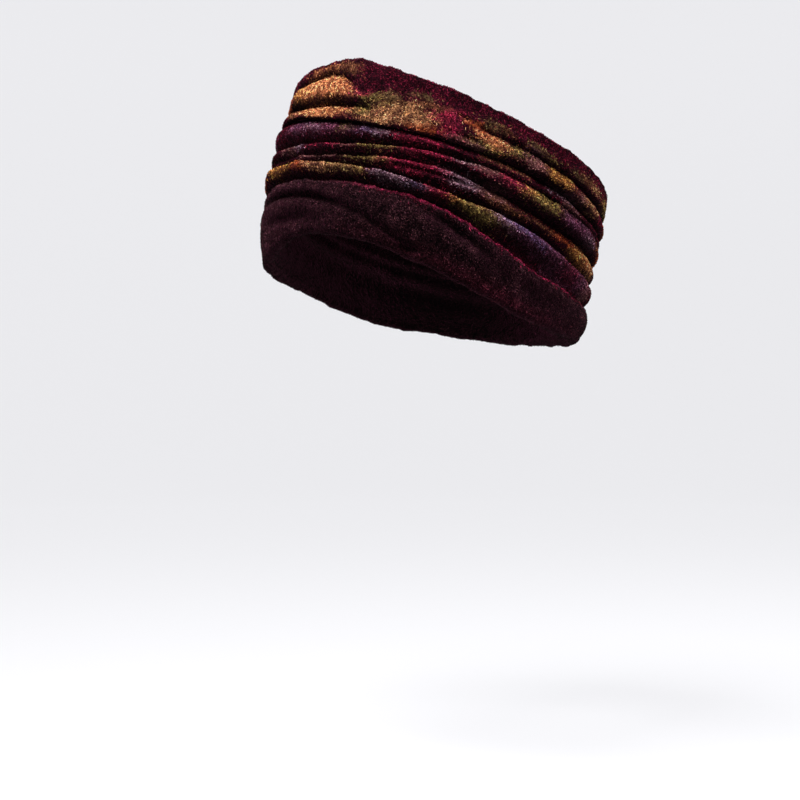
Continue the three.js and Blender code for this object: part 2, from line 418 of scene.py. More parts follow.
def fold_faces(az, folds):
    """Stretches down the outer face of the folds.

    From a crest to the groove below it the offset falls with the share of the height to a power,
    and rises in the same way from a groove to the crest below it. The rim runs in as a sine."""
    points = count(9)
    for number, (above, crest, groove) in enumerate(folds):
        first = 1 if number == 0 else 0     # the rim's arc stands for the very first point
        share = (np.arange(first, points) / points)[None, :]
        out = np.sin(share * np.pi / 2) if number == 0 else 1 - (1 - share) ** UPPER_ROUNDNESS
        height = above[1] + (crest[1] - above[1]) * share
        offset = above[0] + (crest[0] - above[0]) * out - dents(CREASES, az, height)
        yield offset, height + above[2] * (1 - out), number + share * crest[2], FOLDS
        share = (np.arange(points) / points)[None, :]
        inwards = share**LOWER_ROUNDNESS
        height = crest[1] + (groove[1] - crest[1]) * share
        offset = crest[0] + (groove[0] - crest[0]) * inwards - dents(CREASES, az, height)
        place = number + crest[2] + share * (1 - crest[2])
        yield offset, height + groove[2] * inwards, place, FOLDS
    yield folds[-1][2][0], folds[-1][2][1], len(folds), FOLDS


def inner_faces(form, folds):
    """Stretches up the inside: half a cosine between corners that lie one thickness of felt in."""
    corners = []
    for _, crest, groove in reversed(folds):
        filled = (1 - INNER_FOLLOW) * np.maximum(0, crest[0] - groove[0])
        corners.append((groove[0] - FELT, groove[1] + groove[2]))
        corners.append((crest[0] - FELT - filled, crest[1]))
    corners.append((lean(form["rim"], form) - FELT, form["rim"] - FELT / 2))
    share = (np.arange(count(3)) / count(3))[None, :]
    for start, end in zip(corners[:-1], corners[1:]):
        offset = start[0] + (end[0] - start[0]) * (1 - np.cos(np.pi * share)) / 2
        yield offset, start[1] + (end[1] - start[1]) * share, INSIDE_PLACE, INSIDE


# %% The cuff and the whole section
def cuff_lines(az, form):
    """Functions of v, 0 at the cut edge and 1 over the foot: height, outer face, face behind it."""
    def height(v):
        return form["cuff_edge"] + (form["foot"] + FOOT_RADIUS - form["cuff_edge"]) * v

    def puff(v):
        return BULGE * np.sin(np.pi * v**BULGE_SKEW)

    def face(v):
        out = lean(height(v), form) + form["cuff_out"] - EDGE_LEAN * (1 - v) + puff(v)
        return out - dents(CUFF_CREASES, az, height(v))

    def behind(v):
        return face(v) - FELT - (GAP_TOP + puff(v) / 2 + (GAP_FOOT - GAP_TOP) * v**2)

    return height, face, behind


def section(azimuth):
    """Arrays of offset, height, place and part: one row per azimuth, one column per point.

    Half circles close the rim, the bottom of the slit, the cut edge and the foot."""
    az = np.asarray(azimuth, float)[:, None]
    form = {name: at(FORM, name, az) for name in FORM if name != "at"}
    for name, (seed, size) in RIPPLES.items():
        form[name] = form[name] + ripple(az, seed, size)
    cuff_height, cuff_face, behind = cuff_lines(az, form)
    folds = fold_corners(az, form, (behind(0.0), form["cuff_edge"] + SLIT_ABOVE_EDGE, 0.0))
    foot_centre, half, slit_radius = form["foot"] + FOOT_RADIUS, FELT / 2, GAP_FOOT / 2

    def cut_edge(offset, top, turn):
        return offset - half + half * np.cos(turn), top - half + half * np.sin(turn)

    down, up, deep = row(0.08, 1, 7), row(1, 0.05, 7), row(0.04, 1, 34)
    bottom = np.linspace(0, np.pi, count(5) + 2)[None, 1:-1]
    under = row(0, np.pi, 12)[:, 1:]
    inside = row(0.92, 0.08, 12)
    stretches = [
        (*cut_edge(lean(form["rim"], form), form["rim"], row(np.pi, 0, 7)), 0, RIM),
        *fold_faces(az, folds),
        (behind(down), cuff_height(down), len(folds), SLIT),
        (behind(1.0) + slit_radius * (1 - np.cos(bottom)),
         foot_centre - slit_radius * np.sin(bottom), SLIT_PLACE, SLIT),
        (cuff_face(up) - FELT, cuff_height(up), SLIT_PLACE, SLIT),
        (*cut_edge(cuff_face(0.0), form["cuff_edge"], row(np.pi, 0, 8)), CUFF_PLACE, EDGE),
        (cuff_face(deep), cuff_height(deep), CUFF_PLACE + deep, CUFF),
        (cuff_face(1.0) - FOOT_RADIUS * (1 - np.cos(under)),
         foot_centre - FOOT_RADIUS * np.sin(under), FOOT_PLACE, FOOT),
        (behind(inside) - FELT, cuff_height(inside), INSIDE_PLACE, INSIDE),
        *inner_faces(form, folds),
    ]
    columns = [np.broadcast_arrays(*stretch, az)[:-1] for stretch in stretches]
    return [np.concatenate(kind, 1) for kind in zip(*columns)]


# %% [markdown]
# ## From sections to a lumpy ring
#
# The sections are set round the oval and the ring is tipped back. Hand-felted wool is never even,
# so a soft noise then moves the felt: wide swells that both faces share, and smaller lumps on the
# outside. A lattice of seeded random numbers, smoothly blended, gives the same lumps on each run.

# %% Ring, normals and soft noise
def place_on_head(azimuth, offset, height):
    """Points in mm: the oval widened by the offset, then turned about Y and X by the tilts."""
    def tipped(level, up, degrees):
        tilt = np.radians(degrees)
        return level * np.cos(tilt) + up * np.sin(tilt), up * np.cos(tilt) - level * np.sin(tilt)

    turn = np.radians(azimuth)[:, None]
    x, height = tipped((HALF_WIDTH + offset) * np.sin(turn), height, TILT_SIDE)
    y, height = tipped(-(HALF_LENGTH + offset) * np.cos(turn), height, TILT_BACK)
    return np.stack([x, y, height], -1)


def unit(vectors):
    """The vectors brought to length 1."""
    return vectors / np.maximum(np.linalg.norm(vectors, axis=-1, keepdims=True), 1e-9)


def steps(grid, axis):
    """Half of the step from the point before to the point after, on a grid that closes on itself."""
    return (np.roll(grid, -1, axis) - np.roll(grid, 1, axis)) / 2


def grid_normals(points):
    """Unit normals of a closed grid: the cross product of its steps down and along the ring."""
    return unit(np.cross(steps(points, 1), steps(points, 0)))


def soft_noise(points, cell, seed):
    """Noise from -1 to 1: random numbers on a lattice, blended with the smooth step 3t2 - 2t3."""
    size = 48
    lattice = np.random.default_rng(seed).uniform(-1, 1, (size, size, size))
    where = points / cell + 1000    # every place is above 0
    low = np.floor(where).astype(int)
    t = where - low
    t = t * t * (3 - 2 * t)
    total = np.zeros(points.shape[:-1])
    for corner in np.ndindex(2, 2, 2):
        index = (low + corner) % size
        weight = np.prod(np.where(corner, t, 1 - t), -1)
        total += weight * lattice[index[..., 0], index[..., 1], index[..., 2]]
    return total


def noises(points, *layers):
    """Soft noises added up. Each layer is the size of its cells in mm, its seed and its strength."""
    return sum(soft_noise(points, cell, seed) * strength for cell, seed, strength in layers)


# %% [markdown]
# The colour of the felt carries painted light and shade: it is darker deep in the folds and under
# overhangs, where little light reaches, and a little lighter where the most reaches. What reaches
# the light is worked out on the section itself: from each point, the felt above it blocks the steep
# part of the sky. The light of the free part is summed over a few directions.

# %% How open to the light each place is
LEVEL_LIGHT = 0.25      # light from the horizon, where the light from straight above is 1
CLEAR_OVER = 0.3        # felt blocks the light of a point that it is this far over, in mm
DIRECTIONS = np.radians(np.arange(5, 90, 10))


def openness(offset, height):
    """Sum over directions from level to straight up: the cosine to the normal where none blocks.

    A direction is free if it is lower than the lowest direction to any felt above the point."""
    offset, height = offset.astype(np.float32), height.astype(np.float32)
    over = height[:, None, :] - height[:, :, None]
    beyond = offset[:, None, :] - offset[:, :, None]
    free = np.where(over > CLEAR_OVER, np.arctan2(over, beyond), np.pi).min(-1)
    facing = np.arctan2(steps(offset, 1), -steps(height, 1))
    light, full = 0, 0
    for direction in DIRECTIONS:
        strength = LEVEL_LIGHT + (1 - LEVEL_LIGHT) * np.sin(direction)
        light = light + strength * (direction < free) * np.maximum(0, np.cos(direction - facing))
        full += strength * np.cos(direction)
    return light / full


# %% Painted light and shade on the whole felt
OUTSIDE = (RIM, FOLDS, EDGE, CUFF, FOOT)
# limits and contrast of the painted light and shade in the felt's colour
LEAST_OPEN, MOST_OPEN, CONTRAST = 0.1, 1.1, 1.2
INSIDE_HEIGHTS, INSIDE_LIGHT = (-45, 30), (0.06, 0.42)  # the inside is lit from its open top
SLIT_LIGHT, FOOT_LIGHT = 0.08, 0.2
# painted shade in the creases: how fast the colour dims per mm that a crease presses in
PAINTED_SHADE_OF_CREASES = ((CREASES, FOLDS, 0.22), (CUFF_CREASES, CUFF, 0.34))     # per mm pressed in


def light_on_felt(azimuths, offset, height, part):
    """How much light reaches each point of the grid, evened out a little along the ring. It is
    painted into the colours as light and shade.
    """
    outer = np.isin(part[0], OUTSIDE)
    light = np.interp(height, INSIDE_HEIGHTS, INSIDE_LIGHT)
    opened = openness(offset[:, outer], height[:, outer])
    light[:, outer] = np.clip(opened, LEAST_OPEN, MOST_OPEN) ** CONTRAST
    light[part == SLIT] = SLIT_LIGHT
    light[part == FOOT] = np.maximum(light[part == FOOT], FOOT_LIGHT)
    for creases, kind, shade in PAINTED_SHADE_OF_CREASES:
        pressed = dents(creases, azimuths[:, None], height)
        light[part == kind] *= np.exp(-shade * pressed)[part == kind]
    for _ in range(2):
        light = light / 2 + (np.roll(light, 1, 0) + np.roll(light, -1, 0)) / 4
    return light


# %% Build the surface of the felt
STATIONS = count(380)
SWELLS = (21.0, 11, 0.8)    # cell in mm, seed and height in mm
LUMPS = ((8.0, 12, 0.5), (4.2, 13, 0.28))

azimuths = -90 + 360 * np.arange(STATIONS) / STATIONS
offset, height, place, part = section(azimuths)
# painted light and shade, carried into the colour of the felt and of its fibres
painted_light = light_on_felt(azimuths, offset, height, part)
print("openness of the folds:", np.percentile(painted_light[part == FOLDS], (5, 50, 95)).round(2))

ring = place_on_head(azimuths, offset, height)
outward = np.where(np.isin(part, OUTSIDE), 1.0, 0.0)
inward = np.where(part == INSIDE, 1.0, 0.0)
shift = (outward - inward) * noises(ring, SWELLS) + (outward + inward) * noises(ring, *LUMPS)
ring = ring + grid_normals(ring) * shift[..., None]
normals = grid_normals(ring)
print("felt grid:", ring.shape[:2], "mm box:", ring.min((0, 1)).round(1), ring.max((0, 1)).round(1))

# %% [markdown]
# ## Coloured wool
#
# Tufts of dyed wool are laid on the burgundy fleece before it is felted, so each patch has a ragged
# edge and its fibres mix with the ground. The table names each tuft: where it lies round the head,
# its place from the rim down in folds, how far it reaches both ways, and its colour. Each colour
# has two tones, the light fibres on top and the darker wool between them.

# %% Palette and tufts
def tone(text):
    """A colour written as its red, green and blue in 0 to 255, turned to linear light."""
    value = np.array([int(word) for word in text.split("-")]) / 255
    return np.where(value <= 0.04045, value / 12.92, ((value + 0.055) / 1.055) ** 2.4)


WOOL = {
    name: (tone(light), tone(dark))
    for name, light, dark in (
        ("burgundy", "90-18-36", "20-4-9"),
        ("plum", "76-42-49", "6-2-3"),
        ("edge", "140-32-64", "50-8-20"),
        ("crimson", "172-42-72", "42-8-18"),
        ("orange", "252-160-106", "70-22-12"),
        ("tan", "208-148-102", "46-14-13"),
        ("rust", "182-88-50", "70-22-14"),
        ("ochre", "214-146-76", "60-24-12"),
        ("olive", "154-128-72", "36-20-12"),
        ("lilac", "172-134-148", "44-20-32"),
        ("purple", "122-70-94", "30-9-20"),
        ("violet", "132-120-176", "36-22-48"),
        ("rose", "156-104-100", "52-20-24"),
        ("brown", "128-82-56", "40-16-12"),
        ("moss", "118-92-60", "32-12-12"),
    )
}
TUFTS = """
azimuth place reach depth colour
 -2 0.46  8 0.32 brown
-13 0.62  9 0.36 orange
-18 0.90  8 0.30 orange
 -9 1.45 15 0.56 orange
-21 1.60  4 0.50 ochre
-40 1.50 10 0.60 rust
 10 1.30  3 0.16 crimson
 16 1.50  6 0.34 olive
 20 1.22  5 0.22 moss
 31 0.96  6 0.16 moss
 35 1.30  7 0.20 brown
 11 2.10  4 0.40 olive
 -7 2.30 14 0.50 orange
-24 2.30  5 0.45 brown
 26 2.00 11 0.66 tan
 39 1.95  5 0.28 crimson
 18 2.55  8 0.36 tan
 33 2.60  5 0.28 rust
 42 2.55  6 0.26 crimson
 42 1.50  5 0.34 crimson
 49 1.70  4 0.30 rust
 46 1.60  3 0.16 orange
 53 2.10  3 0.16 orange
 51 2.52  5 0.16 olive
 56 1.35  5 0.46 moss
 59 1.20  4 0.30 brown
 67 1.80  2 0.16 orange
 73 1.45  6 0.34 moss
 78 1.60  3 0.20 olive
 70 1.62  3 0.20 purple
 98 1.30  6 0.36 brown
103 1.24  6 0.34 tan
 91 1.50  4 0.26 moss
 47 2.72  8 0.26 rose
 56 2.74  6 0.28 olive
 56 2.28  5 0.32 orange
 64 2.26  4 0.32 olive
 72 2.35  5 0.34 rose
 84 2.32  8 0.36 ochre
 98 2.60  7 0.30 rose
103 2.50  7 0.36 tan
 94 2.86  8 0.16 lilac
 95 3.60  7 0.40 rose
-16 3.26 11 0.24 purple
 -3 3.26  9 0.22 purple
-10 3.20  4 0.20 lilac
  6 3.12  3 0.24 olive
  9 3.20  5 0.26 purple
 18 3.16  6 0.26 lilac
 15 3.20  3 0.16 violet
 31 3.22  9 0.36 crimson
 62 3.20 10 0.20 brown
 88 3.10  8 0.24 lilac
-21 4.28  6 0.40 rose
-13 4.22  4 0.34 lilac
-11 4.16  2 0.16 violet
  0 4.12 10 0.18 crimson
  9 4.16  5 0.22 rose
 19 4.20  8 0.32 olive
 35 4.10 13 0.40 crimson
 55 4.05  9 0.36 rose
 49 4.10  5 0.22 lilac
 66 4.05  6 0.36 crimson
 79 4.26 10 0.46 olive
 72 4.20  3 0.20 ochre
 99 4.42 12 0.48 purple
108 4.55  7 0.30 lilac
 -3 5.16 12 0.36 rose
 14 5.30  9 0.34 olive
 29 5.30  9 0.40 crimson
 39 5.15  7 0.34 crimson
 49 5.20  8 0.40 lilac
 56 5.30  4 0.26 rose
 61 4.95  7 0.36 rose
 65 5.50  9 0.34 brown
 82 5.30  9 0.18 brown
 92 5.30  7 0.18 rust
 96 5.30  4 0.22 rust
-26 6.22 10 0.60 ochre
-19 6.20  5 0.40 ochre
-11 6.22  4 0.40 rust
  3 6.28 12 0.44 tan
 10 6.30  8 0.40 olive
 29 6.44 10 0.50 lilac
 34 6.46  3 0.22 violet
 42 6.42  6 0.56 crimson
 55 6.44 10 0.50 olive
 48 6.32  4 0.30 ochre
 67 6.20  5 0.34 lilac
 75 6.30  9 0.42 purple
 71 6.12  5 0.18 violet
 80 6.30  5 0.18 violet
 84 6.38  8 0.36 purple
 99 6.50  6 0.34 crimson
 94 6.50 11 0.60 purple
104 5.55  8 0.46 ochre
113 5.36  9 0.50 orange
118 5.60  7 0.44 tan
110 6.55 10 0.40 purple
117 6.60  8 0.40 rose
116 1.50  6 0.30 brown
125 1.40 10 0.50 olive
134 1.25  6 0.36 moss
129 2.50  6 0.30 rust
140 2.30 12 0.50 tan
152 2.40  7 0.36 ochre
119 4.20  6 0.36 brown
128 4.30 10 0.50 rust
137 4.40  7 0.36 orange
146 5.40 12 0.60 ochre
158 5.50  8 0.40 olive
150 3.40 10 0.50 crimson
155 1.20  5 0.30 ochre
164 1.30 12 0.60 rust
175 1.50  7 0.44 orange
158 6.30  8 0.40 purple
170 6.40 14 0.50 lilac
184 6.30  7 0.40 violet
178 2.60 12 0.60 crimson
168 3.60  8 0.36 rose
176 4.40  6 0.36 tan
186 4.50 12 0.60 olive
197 4.60  7 0.40 brown
192 1.40  6 0.36 rose
200 1.60 12 0.60 tan
211 1.80  7 0.44 olive
196 6.10  6 0.36 rust
206 6.20 12 0.50 ochre
217 6.30  7 0.40 tan
190 3.30  7 0.40 lilac
201 2.70  9 0.40 brown
212 3.30 12 0.60 purple
223 3.20  8 0.40 lilac
219 5.00  6 0.36 ochre
228 4.80 12 0.60 orange
239 4.60  8 0.44 rust
222 2.30  6 0.40 moss
232 2.10 12 0.60 olive
243 2.20  8 0.44 tan
234 1.20  7 0.40 rust
246 6.30 12 0.50 purple
257 6.20  7 0.40 lilac
250 1.20 12 0.50 crimson
249 3.30  5 0.30 violet
258 3.40 10 0.50 lilac
253 5.10  6 0.36 olive
262 5.20 10 0.50 tan
-82 2.30  7 0.40 rust
-70 2.20 12 0.50 orange
-75 1.30  9 0.40 olive
-66 3.30  7 0.36 brown
-58 4.40 12 0.50 crimson
-72 5.30  8 0.40 olive
-50 6.20 10 0.50 rust
-63 6.30  7 0.40 lilac
-46 3.30  8 0.40 purple
"""

# %% Lay the wool on the felt
STRAY, FRAY = 3.2, 0.16     # how far noise pushes a tuft's edge, in degrees and in folds


def lay_tufts(azimuth, place, points):
    """Light tone, dark tone and cover of the wool at each point.

    A tuft covers an oval whose edge is pushed about by noise. Its cover fades out between 0.7 and
    1.2 times its reach, and is thin where the face is worn. Where tufts overlap, the colours are
    blended by weights that fall to 0 at 1.3 times the reach."""
    stray = noises(points, (9.0, 21, 0.6), (3.6, 22, 0.5)) * STRAY
    fray = noises(points, (7.0, 23, 0.6), (3.0, 24, 0.5)) * FRAY
    light = np.zeros(points.shape)
    dark = np.zeros(points.shape)
    total = np.full(points.shape[:-1], 1e-6)
    cover = np.zeros(points.shape[:-1])
    for line in TUFTS.strip().splitlines()[1:]:
        *numbers, colour = line.split()
        middle, fold, reach, depth = (float(number) for number in numbers)
        round_by = (azimuth - middle + 180) % 360 - 180 + stray
        away = np.hypot(round_by / reach, (place - fold + fray) / depth)
        weight = np.clip(1.3 - away, 0, 1) ** 1.5
        light += weight[..., None] * WOOL[colour][0]
        dark += weight[..., None] * WOOL[colour][1]
        total += weight
        cover = np.maximum(cover, np.clip(1.2 - away, 0, 0.5) / 0.5)
    worn = noises(points, (5.0, 25, 0.5), (2.4, 26, 0.6))
    cover = np.clip(cover * (1.0 + 0.75 * np.minimum(worn, 0.2)), 0, 1)
    mix = (cover * cover * (3 - 2 * cover))[..., None]
    light = light / total[..., None] * mix + WOOL["burgundy"][0] * (1 - mix)
    dark = dark / total[..., None] * mix + WOOL["burgundy"][1] * (1 - mix)
    return light, dark, cover


# %% [markdown]
# The cuff, the foot and the inside show the other face of the felt, which has no tufts. Its cut
# edges are brighter, most of all over the wearer's left temple, and a little of that colour shows
# again along the foot. Felted wool also draws together in clumps, some lighter and some darker.

# %% The other face, the cut edges and the clumps
BRIGHT_EDGE = 66.0      # azimuth where the cut edge of the cuff is brightest, in degrees
BRIGHT_REACH = 64.0     # degrees from there to where it is as dark as the cuff
RIM_SHARE = 0.6         # share of the bright colour in the rim
FOOT_SHARE = 0.28       # most that the foot has of it
EDGE_WIDTH = 0.05       # share of the cuff, from its cut edge down, that has the edge's colour
LOW_CUFF = 0.3          # share of the cuff over which the foot's colour comes in
EDGE_GAIN = 2.2         # the cut edge brightens so many times as fast as the foot, up to 1
PLUM_COVER, EDGE_COVER = 0.2, 0.5           # cover on the other face and on the cut edges
OUTER_CLUMPS, OTHER_CLUMPS = 0.8, 1.15      # contrast of the clumps on the outside and there


def clumps(points):
    """Brightness of the clumps: e to the power of a soft noise."""
    return np.exp(noises(points, (2.8, 27, 0.5), (6.0, 28, 0.4), (13.0, 29, 0.3)))[..., None]


def wool_at(azimuth, place, part, points):
    """Tones and cover of the tufts outside, of the plum face inside, and of the cut edges."""
    light, dark, cover = lay_tufts(azimuth, place, points)
    other_face = np.isin(part, (SLIT, CUFF, FOOT, INSIDE))
    light[other_face], dark[other_face], cover[other_face] = *WOOL["plum"], PLUM_COVER

    cut_edge = np.isin(part, (RIM, EDGE)) | (part == CUFF) & (place < CUFF_PLACE + EDGE_WIDTH)
    foot = np.isin(part, (CUFF, FOOT)) & (place > FOOT_PLACE - LOW_CUFF)
    near = np.clip(1 - np.abs((azimuth - BRIGHT_EDGE + 180) % 360 - 180) / BRIGHT_REACH, 0, 1)
    coming_in = np.clip((place - FOOT_PLACE) / LOW_CUFF + 1, 0, 1)
    share = np.where(part == RIM, RIM_SHARE, np.minimum(1, EDGE_GAIN * near))
    share = np.where(foot, FOOT_SHARE * near * coming_in, share)
    tinted = cut_edge | foot
    share = share[tinted][:, None]
    for tones, edge, plum in zip((light, dark), WOOL["edge"], WOOL["plum"]):
        tones[tinted] = edge * share + plum * (1 - share)
    cover[cut_edge] = EDGE_COVER

    brightness = clumps(points) ** np.where(other_face, OTHER_CLUMPS, OUTER_CLUMPS)[..., None]
    return light * brightness, dark * brightness, cover


light, dark, cover = wool_at(azimuths[:, None] + 0 * place, place, part, ring)
print("share of the outside under coloured wool:", cover[part == FOLDS].mean().round(2))

# %% [markdown]
# ## Nodes written as sums
#
# A material is a small program, and it reads best as one. The class below wraps a node's output, so
# that a sum or a product of two outputs adds the Math node that works it out. Any other node comes
# from the method `node`, which takes its type, its settings and the values or links of its sockets.

# %% A shader in Python expressions
def fill(node, inputs):
    """Fill a node's sockets: a Wire is linked, and any other value is set on the socket itself."""
    for name, value in dict(inputs).items():
        if isinstance(value, Wire):
            node.id_data.links.new(value.socket, node.inputs[name])
        else:
            node.inputs[name].default_value = value


class Wire:
    """The output of a node. Arithmetic on it adds Math nodes."""

    def __init__(self, tree, socket):
        self.tree, self.socket = tree, socket

    def node(self, kind, settings=(), inputs=(), output=0):
        made = self.tree.nodes.new(kind)
        for name, value in dict(settings).items():
            setattr(made, name, value)
        fill(made, inputs)
        return Wire(self.tree, made.outputs[output])

    def attribute(self, name, output):
        return self.node("ShaderNodeAttribute", {"attribute_name": name}, output=output)

    def maths(self, operation, *values):
        return self.node("ShaderNodeMath", {"operation": operation}, dict(enumerate(values)))

    def __add__(self, other):
        return self.maths("ADD", self, other)

    def __sub__(self, other):
        return self.maths("SUBTRACT", self, other)

    def __mul__(self, other):
        return self.maths("MULTIPLY", self, other)

    def __rsub__(self, other):
        return self.maths("SUBTRACT", other, self)

    __radd__ = __add__
    __rmul__ = __mul__

    def between(self, low, high):
        """0 below low, 1 above high and a straight ramp from one to the other."""
        ramp = {"From Min": low, "From Max": high}
        return self.node("ShaderNodeMapRange", {"clamp": True}, {"Value": self, **ramp})

    def blend(self, first, second):
        """The colour first where this is 0, and second where it is 1."""
        sockets = {0: self, 6: first, 7: second}
        return self.node("ShaderNodeMix", {"data_type": "RGBA"}, sockets, output=2)


def new_material(name):
    """A material with only its Principled shader and output, and a wire to start from."""
    material = bpy.data.materials.new(name)
    material.use_nodes = True
    tree = material.node_tree
    tree.nodes.clear()
    out = tree.nodes.new("ShaderNodeOutputMaterial")
    skin = tree.nodes.new("ShaderNodeBsdfPrincipled")
    tree.links.new(skin.outputs[0], out.inputs["Surface"])
    return material, skin, Wire(tree, None)


# %% [markdown]
# ## The felt's finish
#
# Close up, felt is a mat of curled fibres: light threads over dark gaps. Ridged noise draws such
# threads, because its values peak along thin winding lines. A finer and a coarser noise break them
# up. The cover of a tuft lifts more threads to the light, so a patch is dense in its middle and
# thins out at its edge. The same noises raise the bump, and a soft sheen brightens the outline.

# %% Material of the felt
CURLS, NUBS, MOTTLE = 420.0, 900.0, 120.0   # scales of the noises, in waves a metre
THREAD_SHARPNESS = 9.0                      # how fast a thread fades beside its line
THREAD_FROM, THREAD_TO = 0.80, 1.20         # levels where light threads begin and are complete
THREAD_LIGHT = 0.7                          # most of the light tone that the felt itself shows
RELIEF = 1.1 * MM                           # height of the bump


def make_felt():
    """Dark wool with light threads over it, mottled, and dimmed by painted shade where little light
    reaches it.
    """
    material, skin, start = new_material("wool_felt")
    spot = start.node("ShaderNodeTexCoord", output="Object")
    light, dark = start.attribute("light_wool", "Color"), start.attribute("dark_wool", "Color")
    cover, painted_light = start.attribute("cover", "Fac"), start.attribute("painted_light", "Fac")

    def noise(scale, detail, roughness, distortion):
        sockets = {"Vector": spot, "Scale": scale, "Detail": detail}
        sockets |= {"Roughness": roughness, "Distortion": distortion}
        return start.node("ShaderNodeTexNoise", {"noise_type": "FBM"}, sockets, output="Fac")

    curls = noise(CURLS, 2.0, 0.6, 0.9)
    threads = 1 - start.maths("ABSOLUTE", curls - 0.5) * THREAD_SHARPNESS
    nubs = noise(NUBS, 2.0, 0.6, 0.4)
    mottle = noise(MOTTLE, 3.0, 0.6, 0.3)
    level = nubs * 0.9 + threads * 0.35 + cover * 0.15 + mottle * 0.35
    fibre = level.between(THREAD_FROM, THREAD_TO) * THREAD_LIGHT
    colour = fibre.blend(dark, light)
    # painted shade: the colour is dimmed where little light reaches the felt
    shade = (mottle.between(0.3, 0.72) * 0.5 + 0.6) * painted_light
    dim = start.node("ShaderNodeCombineColor", (), {0: shade, 1: shade, 2: shade})
    multiply = {"data_type": "RGBA", "blend_type": "MULTIPLY"}
    colour = start.node("ShaderNodeMix", multiply, {0: 1.0, 6: colour, 7: dim}, output=2)
    relief = threads * 0.5 + nubs * 0.7 + mottle * 0.6
    sockets = {"Strength": 0.9, "Distance": RELIEF, "Height": relief}
    bump = start.node("ShaderNodeBump", (), sockets)
    fill(skin, {
        "Base Color": colour, "Normal": bump, "Roughness": 0.95, "Specular IOR Level": 0.02,
        "Sheen Weight": 0.12, "Sheen Roughness": 0.35, "Sheen Tint": (0.55, 0.12, 0.24, 1),
    })
    return material


felt_material = make_felt()

# %% [markdown]
# ## The felt as a mesh
#
# The grid closes on itself both ways, so each cell becomes one four-sided face and there is no
# seam, no pole and no edge to close. The colours ride on the mesh as attributes, which stay with
# the cloth wherever it folds.

# %% Felt object
def mesh_object(name, points, faces, material, attributes=()):
    """An object at the origin from points in metres, with attributes: a number or colour a point."""
    mesh = bpy.data.meshes.new(name)
    mesh.from_pydata(points, [], faces)
    for attribute, values in dict(attributes).items():
        kind, key = ("FLOAT_COLOR", "color") if values.ndim == 2 else ("FLOAT", "value")
        if values.ndim == 2:
            values = np.concatenate([values, np.ones((len(values), 1))], 1)
        made = mesh.attributes.new(attribute, kind, "POINT")
        made.data.foreach_set(key, values.astype(np.float32).ravel())
    mesh.materials.append(material)
    mesh.shade_smooth()
    made = bpy.data.objects.new(name, mesh)
    bpy.context.scene.collection.objects.link(made)
    return made


def closed_grid(rows_of, columns):
    """Faces of a grid that closes both ways, wound so that they look outwards."""
    i, j = np.meshgrid(np.arange(rows_of), np.arange(columns), indexing="ij")
    here, right = i * columns + j, i * columns + (j + 1) % columns
    below, across = (i + 1) % rows_of * columns + j, (i + 1) % rows_of * columns + (j + 1) % columns
    return np.stack([here, right, across, below], -1).reshape(-1, 4)


felt = mesh_object(
    "felt_band_wool",
    ring.reshape(-1, 3) * MM,
    closed_grid(*ring.shape[:2]),
    felt_material,
    {
        "light_wool": light.reshape(-1, 3), "dark_wool": dark.reshape(-1, 3),
        "cover": cover.ravel(), "painted_light": painted_light.ravel(),
    },
)
print("felt triangles:", 2 * len(felt.data.polygons))
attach(felt, "root")
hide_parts("felt_band")

# %% [markdown]
# ## The nap
#
# Bump cannot change an outline, and felt has a fuzzy one. So the wool on the outside is also laid
# on as real fibres. A particle system would grow them too, but its strands are no mesh, so here
# each fibre is a thin closed spindle: a triangle round its middle, and a point at both ends. It
# sets out in a random direction, rises from the felt, bends and dives in again, so both its ends
# are held by the felt. Fibres along a cut edge are combed, and those of the cuff lie matted.

# %% Reading the grid between its points
def sample(grid, i, j):
    """A value of the closed grid at fractional places: the weighted mean of the cell's corners."""
    size_i, size_j = grid.shape[:2]
    low_i, low_j = np.floor(i).astype(int), np.floor(j).astype(int)
    share_i, share_j = (i - low_i)[..., None], (j - low_j)[..., None]
    flat = grid.reshape(size_i, size_j, -1)

    def corner(step_i, step_j):
        return flat[(low_i + step_i) % size_i, (low_j + step_j) % size_j]

    near = corner(0, 0) * (1 - share_j) + corner(0, 1) * share_j
    far = corner(1, 0) * (1 - share_j) + corner(1, 1) * share_j
    return near * (1 - share_i) + far * share_i


along, down = steps(ring, 0), steps(ring, 1)
cell_area = np.linalg.norm(np.cross(along, down), axis=-1)
THICKNESS_OF_NAP = {RIM: 1.0, FOLDS: 1.0, SLIT: 0.0, EDGE: 1.3, CUFF: 0.85, FOOT: 0.7, INSIDE: 0.1}
nap_share = cell_area * np.vectorize(THICKNESS_OF_NAP.get)(part)
print("area that carries nap, in mm2:", round(float(cell_area[nap_share > 0].sum())))


# %% Paths of the fibres
RISE = (-0.35, 0.35, -0.35)     # height of a fibre's three knots over the felt, as a share
FIBRE_LENGTH = (1.8, 4.2)       # in mm
FIBRE_HEIGHT = (0.5, 1.5)       # in mm
COMBED, TURNING, WOBBLE = 0.6, 0.8, 0.35    # spread of directions on a cut edge and of the bends
MATTED_TURNING = 1.5            # fibres of the cuff turn more
MATTED_LENGTH, LOOSE_LENGTH = 0.75, 1.1     # and are shorter than the others
LEAST_SPAN = 0.2                # a grid step counts as at least so many mm


